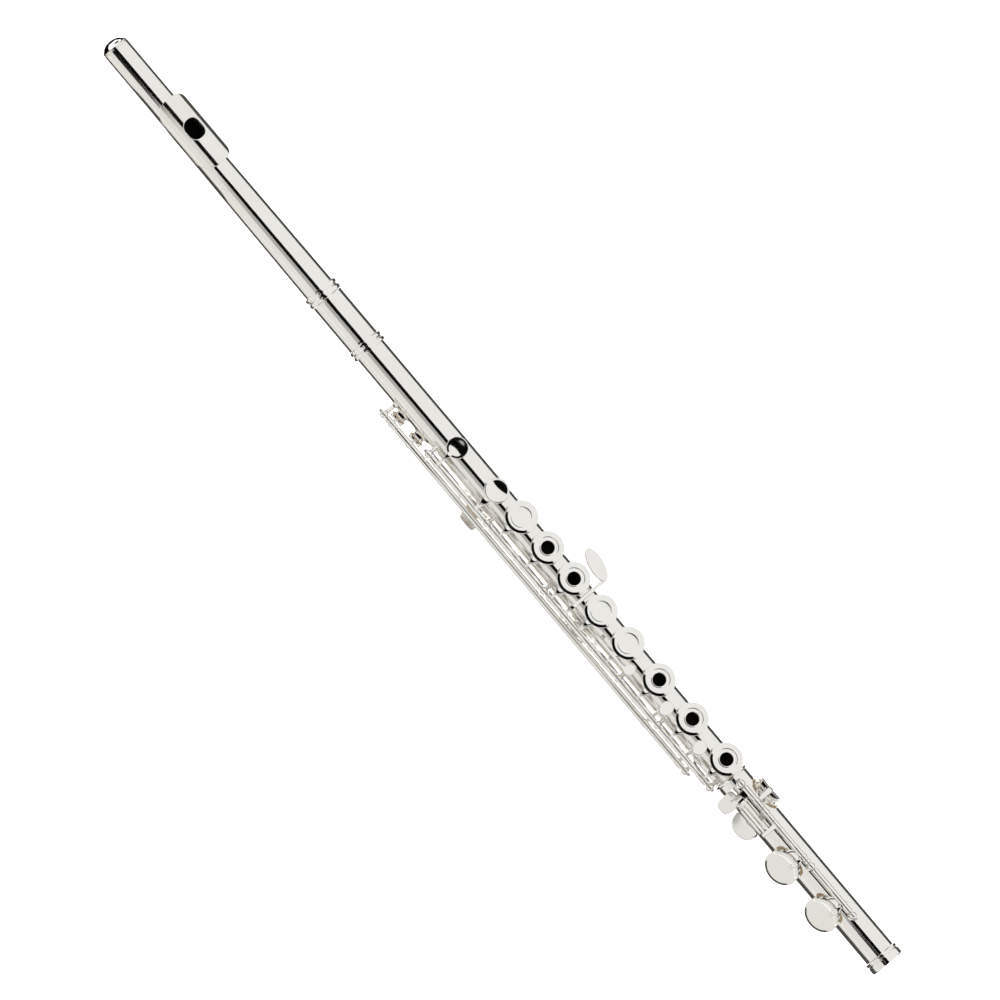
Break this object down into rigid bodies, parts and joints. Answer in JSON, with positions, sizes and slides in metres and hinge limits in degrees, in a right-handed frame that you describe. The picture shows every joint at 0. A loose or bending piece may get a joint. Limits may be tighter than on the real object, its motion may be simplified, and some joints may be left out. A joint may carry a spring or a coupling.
{
  "type": "concert flute",
  "caption": "Slim metal tube in three joints with a lip plate and blow hole near one end, and a row of sprung round keys on rods that close padded tone holes.",
  "frame": {"origin": "centre of the foot joint's open end, on the bore axis", "axes": "+X from the head to the foot along the bore axis, +Z the side the main row of keys faces, +Y the far side, away from the rods"},
  "size_m": [0.6677, 0.042, 0.0374],
  "materials": {
    "silver": "polished silver plate",
    "steel": "ground rod steel",
    "spring_steel": "blued needle spring",
    "brass": "turned",
    "pad_skin": "thin skin over felt",
    "cork": "natural cork"
  },
  "bodies": {
    "body": {"body_tube": "silver", "barrel": "silver", "barrel_rings": "silver", "main_rib": "silver", "main_posts": "silver", "trill_posts": "silver", "thumb_posts": "silver", "left_rod_steel": "steel", "right_rod_steel": "steel", "thumb_rod_steel": "steel", "needle_springs": "spring_steel", "pivot_screws": "steel"},
    "head": {"head_tube": "silver", "lip_plate": "silver", "embouchure_riser": "silver"},
    "crown": {"crown": "silver"},
    "stopper": {"stopper_screw": "brass", "stopper_cork": "cork", "stopper_plates": "silver"},
    "c_key": {"c_key": "silver", "c_key_pad": "pad_skin"},
    "b_flat_key": {"b_flat_key": "silver", "b_flat_pad": "pad_skin"},
    "a_key": {"a_key": "silver", "a_pad": "pad_skin"},
    "g_keys": {"g_keys": "silver", "g_pads": "pad_skin", "g_rod_steel": "steel"},
    "g_sharp_key": {"g_sharp_key": "silver", "g_sharp_pad": "pad_skin"},
    "f_sharp_key": {"f_sharp_key": "silver", "f_sharp_pad": "pad_skin"},
    "f_key": {"f_key": "silver", "f_pad": "pad_skin"},
    "e_key": {"e_key": "silver", "e_pad": "pad_skin"},
    "d_key": {"d_key": "silver", "d_pad": "pad_skin"},
    "trill_d_key": {"trill_d_key": "silver", "trill_d_pad": "pad_skin"},
    "trill_d_sharp_key": {"trill_d_sharp_key": "silver", "trill_d_sharp_pad": "pad_skin"},
    "side_b_flat_lever": {"side_b_flat_lever": "silver"},
    "thumb_b_key": {"thumb_b_key": "silver", "thumb_b_pad": "pad_skin"},
    "thumb_b_flat_lever": {"thumb_b_flat_lever": "silver"},
    "foot": {"foot_tube": "silver", "foot_end_ring": "silver", "foot_socket_ring": "silver", "foot_posts": "silver", "foot_springs": "spring_steel", "foot_pivot_screws": "steel"},
    "d_sharp_key": {"d_sharp_key": "silver", "d_sharp_pad": "pad_skin"},
    "c_sharp_key": {"c_sharp_key": "silver", "c_sharp_pad": "pad_skin"},
    "low_c_key": {"low_c_key": "silver", "low_c_pad": "pad_skin"},
    "low_c_roller": {"low_c_roller": "silver"}
  },
  "joints": [
    {"name": "head_tuning_slide", "type": "slide", "parent": "body", "child": "head", "axis": [-1, 0, 0], "range_m": [0, 0.012]},
    {"name": "crown_turn", "type": "hinge", "parent": "head", "child": "crown", "pos_m": [-0.6643, 0, 0], "axis": [1, 0, 0], "range_deg": [-360, 360]},
    {"name": "stopper_travel", "type": "slide", "parent": "head", "child": "stopper", "axis": [1, 0, 0], "range_m": [-0.00081, 0.00081]},
    {"name": "c_key_hinge", "type": "hinge", "parent": "body", "child": "c_key", "pos_m": [-0.3543, -0.01585, 0.007], "axis": [1, 0, 0], "range_deg": [-9, 0], "stiffness_Nm_per_rad": 0.01, "springref_deg": 25.21},
    {"name": "a_key_hinge", "type": "hinge", "parent": "body", "child": "a_key", "pos_m": [-0.2973, -0.01585, 0.007], "axis": [1, 0, 0], "range_deg": [-9, 0], "stiffness_Nm_per_rad": 0.01, "springref_deg": 25.21},
    {"name": "b_flat_key_hinge", "type": "hinge", "parent": "body", "child": "b_flat_key", "pos_m": [-0.3196, -0.01585, 0.007], "axis": [1, 0, 0], "range_deg": [-9, 0], "stiffness_Nm_per_rad": 0.01, "springref_deg": 25.21},
    {"name": "g_keys_hinge", "type": "hinge", "parent": "body", "child": "g_keys", "pos_m": [-0.2633, -0.01585, 0.007], "axis": [1, 0, 0], "range_deg": [-9, 0], "stiffness_Nm_per_rad": 0.01, "springref_deg": 25.21},
    {"name": "g_sharp_hinge", "type": "hinge", "parent": "body", "child": "g_sharp_key", "pos_m": [-0.2633, -0.01585, 0.007], "axis": [1, 0, 0], "range_deg": [-4.5, 0], "stiffness_Nm_per_rad": 0.01, "springref_deg": 25.21},
    {"name": "f_key_hinge", "type": "hinge", "parent": "body", "child": "f_key", "pos_m": [-0.2018, -0.01585, 0.007], "axis": [1, 0, 0], "range_deg": [-9, 0], "stiffness_Nm_per_rad": 0.01, "springref_deg": 25.21},
    {"name": "f_sharp_key_hinge", "type": "hinge", "parent": "body", "child": "f_sharp_key", "pos_m": [-0.2283, -0.01585, 0.007], "axis": [1, 0, 0], "range_deg": [-9, 0], "stiffness_Nm_per_rad": 0.01, "springref_deg": 25.21},
    {"name": "e_key_hinge", "type": "hinge", "parent": "body", "child": "e_key", "pos_m": [-0.1734, -0.01585, 0.007], "axis": [1, 0, 0], "range_deg": [-9, 0], "stiffness_Nm_per_rad": 0.01, "springref_deg": 25.21},
    {"name": "d_key_hinge", "type": "hinge", "parent": "body", "child": "d_key", "pos_m": [-0.1442, -0.01585, 0.007], "axis": [1, 0, 0], "range_deg": [-9, 0], "stiffness_Nm_per_rad": 0.01, "springref_deg": 25.21},
    {"name": "trill_d_hinge", "type": "hinge", "parent": "body", "child": "trill_d_key", "pos_m": [-0.1873, -0.0185, 0.0011], "axis": [1, 0, 0], "range_deg": [-8, 0], "stiffness_Nm_per_rad": 0.01, "springref_deg": 25.21},
    {"name": "trill_d_sharp_hinge", "type": "hinge", "parent": "body", "child": "trill_d_sharp_key", "pos_m": [-0.1593, -0.0185, 0.0011], "axis": [1, 0, 0], "range_deg": [-8, 0], "stiffness_Nm_per_rad": 0.01, "springref_deg": 25.21},
    {"name": "side_b_flat_hinge", "type": "hinge", "parent": "body", "child": "side_b_flat_lever", "pos_m": [-0.2403, -0.01585, 0.007], "axis": [1, 0, 0], "range_deg": [-6, 0], "stiffness_Nm_per_rad": 0.01, "springref_deg": 25.21},
    {"name": "thumb_b_hinge", "type": "hinge", "parent": "body", "child": "thumb_b_key", "pos_m": [-0.3383, 0.0074, -0.0159], "axis": [1, 0, 0], "range_deg": [-8, 0], "stiffness_Nm_per_rad": 0.01, "springref_deg": 25.21},
    {"name": "thumb_b_flat_hinge", "type": "hinge", "parent": "body", "child": "thumb_b_flat_lever", "pos_m": [-0.3503, 0.0074, -0.0159], "axis": [1, 0, 0], "range_deg": [-8, 0], "stiffness_Nm_per_rad": 0.01, "springref_deg": 25.21},
    {"name": "foot_joint_turn", "type": "hinge", "parent": "body", "child": "foot", "pos_m": [-0.1303, 0, 0], "axis": [1, 0, 0], "range_deg": [-20, 20]},
    {"name": "d_sharp_foot_hinge", "type": "hinge", "parent": "foot", "child": "d_sharp_key", "pos_m": [-0.1183, -0.0037, 0.0166], "axis": [1, 0, 0], "range_deg": [0, 6.5], "stiffness_Nm_per_rad": 0.01, "springref_deg": -25.21},
    {"name": "c_sharp_foot_hinge", "type": "hinge", "parent": "foot", "child": "c_sharp_key", "pos_m": [-0.0903, -0.0037, 0.0166], "axis": [1, 0, 0], "range_deg": [0, 7], "stiffness_Nm_per_rad": 0.01, "springref_deg": -25.21},
    {"name": "low_c_foot_hinge", "type": "hinge", "parent": "foot", "child": "low_c_key", "pos_m": [-0.0553, -0.0037, 0.0166], "axis": [1, 0, 0], "range_deg": [0, 7], "stiffness_Nm_per_rad": 0.01, "springref_deg": -25.21},
    {"name": "low_c_roller_spin", "type": "hinge", "parent": "low_c_key", "child": "low_c_roller", "pos_m": [-0.1093, -0.01278, 0.0157], "axis": [1, 0, 0], "continuous": true}
  ],
  "couplings": [
    {"joint": "stopper_travel", "follows": "crown_turn", "m_per_rad": 0.00012732},
    {"joint": "b_flat_key_hinge", "follows": "a_key_hinge", "ratio": 1},
    {"joint": "f_sharp_key_hinge", "follows": "f_key_hinge", "ratio": 1}
  ]
}
